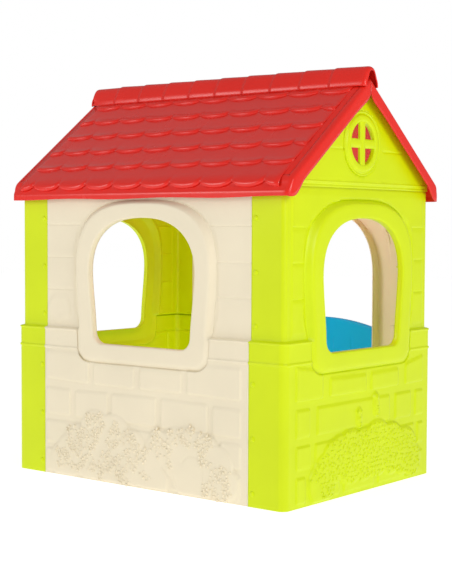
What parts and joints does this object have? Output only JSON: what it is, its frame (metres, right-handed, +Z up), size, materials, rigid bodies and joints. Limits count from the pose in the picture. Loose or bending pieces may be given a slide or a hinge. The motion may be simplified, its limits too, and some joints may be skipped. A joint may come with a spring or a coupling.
{
  "type": "playhouse",
  "caption": "Moulded plastic children's playhouse with arched windows, stone-pattern walls, a tiled gable roof and an arched half-door that swings outwards.",
  "frame": {"origin": "on the ground, under the middle of the house", "axes": "+Z up, -Y towards the window wall, +Y towards the door wall, +X and -X towards the gable walls"},
  "size_m": [1.078, 0.7728, 1.2165],
  "materials": {
    "lime_plastic": "satin moulded lime green polyethylene",
    "cream_plastic": "satin moulded cream polyethylene",
    "red_plastic": "glossy moulded red polyethylene",
    "blue_plastic": "satin moulded blue polyethylene",
    "screw_plastic": "moulded lime green screw heads",
    "washer_plastic": "plain moulded washer",
    "zinc_steel": "zinc plated"
  },
  "bodies": {
    "house": {"window_wall": "cream_plastic", "door_wall": "cream_plastic", "gable_wall_left": "lime_plastic", "gable_wall_right": "lime_plastic", "gable_top_left": "lime_plastic", "gable_top_right": "lime_plastic", "roof_window_side": "red_plastic", "roof_door_side": "red_plastic", "hinge_pin_upper": "zinc_steel", "hinge_pin_lower": "zinc_steel", "hinge_washer": "washer_plastic", "seam_screws_window_left": "screw_plastic", "seam_screws_window_right": "screw_plastic", "seam_screws_door_left": "screw_plastic", "seam_screws_door_right": "screw_plastic", "gable_screws_left": "zinc_steel", "gable_screws_right": "zinc_steel", "roof_screws_left": "zinc_steel", "roof_screws_right": "zinc_steel", "ridge_screws": "zinc_steel"},
    "door": {"half_door": "blue_plastic"}
  },
  "joints": [
    {"name": "door_hinge", "type": "hinge", "parent": "house", "child": "door", "pos_m": [-0.0532, 0.367, 0.25], "axis": [0, 0, 1], "range_deg": [0, 90]}
  ]
}
